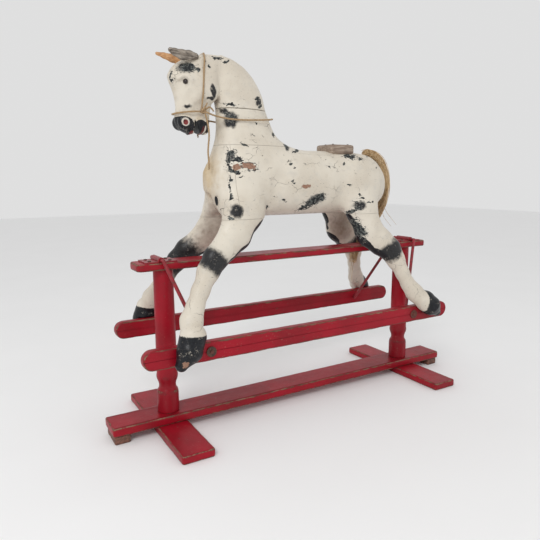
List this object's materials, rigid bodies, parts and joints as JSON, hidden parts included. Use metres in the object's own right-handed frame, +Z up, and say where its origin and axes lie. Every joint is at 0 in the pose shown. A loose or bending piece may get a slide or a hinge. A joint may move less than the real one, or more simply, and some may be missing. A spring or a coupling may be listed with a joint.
{
  "type": "rocking horse",
  "caption": "Worn painted wooden rocking horse that gallops on two swing irons hung from a red timber stand, with twine bridle and horsehair tail.",
  "frame": {"origin": "on the floor under the middle of the stand", "axes": "+X is the way the horse faces and the stand's long side, +Y is the horse's left, +Z is up"},
  "size_m": [1.155, 0.43, 0.9721],
  "materials": {
    "red_painted_wood": "worn semi-matt red paint over brown timber, bare at the edges",
    "red_painted_iron": "dull red brushed paint with dark rust showing",
    "rusted_steel": "dark rusted steel",
    "cream_painted_wood": "worn cream paint with grey dapples, black points and chips down to primer and timber",
    "worn_ear_wood": "bare orange-tan timber",
    "bare_wood": "bare dry timber",
    "eye_glass": "dark polished glass",
    "tail_hair": "straw-coloured horsehair",
    "jute_twine": "hairy twisted jute twine"
  },
  "bodies": {
    "stand": {"base_rail": "red_painted_wood", "front_cross_foot": "red_painted_wood", "rear_cross_foot": "red_painted_wood", "front_end_block": "red_painted_wood", "rear_end_block": "red_painted_wood", "foot_screws": "rusted_steel", "front_pillar": "red_painted_wood", "rear_pillar": "red_painted_wood", "top_rail": "red_painted_wood", "front_iron_bracket": "red_painted_iron", "rear_iron_bracket": "red_painted_iron", "bracket_screws": "rusted_steel"},
    "front_iron": {"front_swing_iron": "red_painted_iron", "front_iron_washers": "rusted_steel"},
    "rear_iron": {"rear_swing_iron": "red_painted_iron", "rear_iron_washers": "rusted_steel"},
    "horse": {"left_hoof_rail": "red_painted_wood", "right_hoof_rail": "red_painted_wood", "hoof_screws": "rusted_steel", "left_fore_leg": "cream_painted_wood", "right_fore_leg": "cream_painted_wood", "left_hind_leg": "cream_painted_wood", "right_hind_leg": "cream_painted_wood", "leg_dowels": "bare_wood", "chest_block": "cream_painted_wood", "rump_block": "cream_painted_wood", "upper_body_board": "cream_painted_wood", "lower_body_board": "cream_painted_wood", "left_body_side": "cream_painted_wood", "right_body_side": "cream_painted_wood", "neck_block": "cream_painted_wood", "neck_dowels": "bare_wood", "head_block": "cream_painted_wood", "left_ear": "cream_painted_wood", "right_ear": "worn_ear_wood", "left_glass_eye": "eye_glass", "right_glass_eye": "eye_glass", "saddle_block": "bare_wood", "saddle_nails": "rusted_steel", "tail_hair": "tail_hair", "tail_peg": "bare_wood", "bridle_string": "jute_twine", "rein_string": "jute_twine", "bridle_knot": "jute_twine", "long_rein_end": "jute_twine", "short_rein_end": "jute_twine"}
  },
  "joints": [
    {"name": "front_swing", "type": "hinge", "parent": "stand", "child": "front_iron", "pos_m": [0.431, 0, 0.4571], "axis": [0, 1, 0], "range_deg": [-12, 12]},
    {"name": "rear_swing", "type": "hinge", "parent": "stand", "child": "rear_iron", "pos_m": [-0.431, 0, 0.4571], "axis": [0, 1, 0], "range_deg": [-12.1, 12.1]},
    {"name": "horse_rock", "type": "hinge", "parent": "front_iron", "child": "horse", "pos_m": [0.3575, 0, 0.243], "axis": [0, 1, 0], "range_deg": [-15.2, 15.2]}
  ],
  "couplings": [
    {"joint": "rear_swing", "follows": "front_swing", "ratio": 1},
    {"joint": "horse_rock", "follows": "front_swing", "ratio": -1.2584}
  ]
}
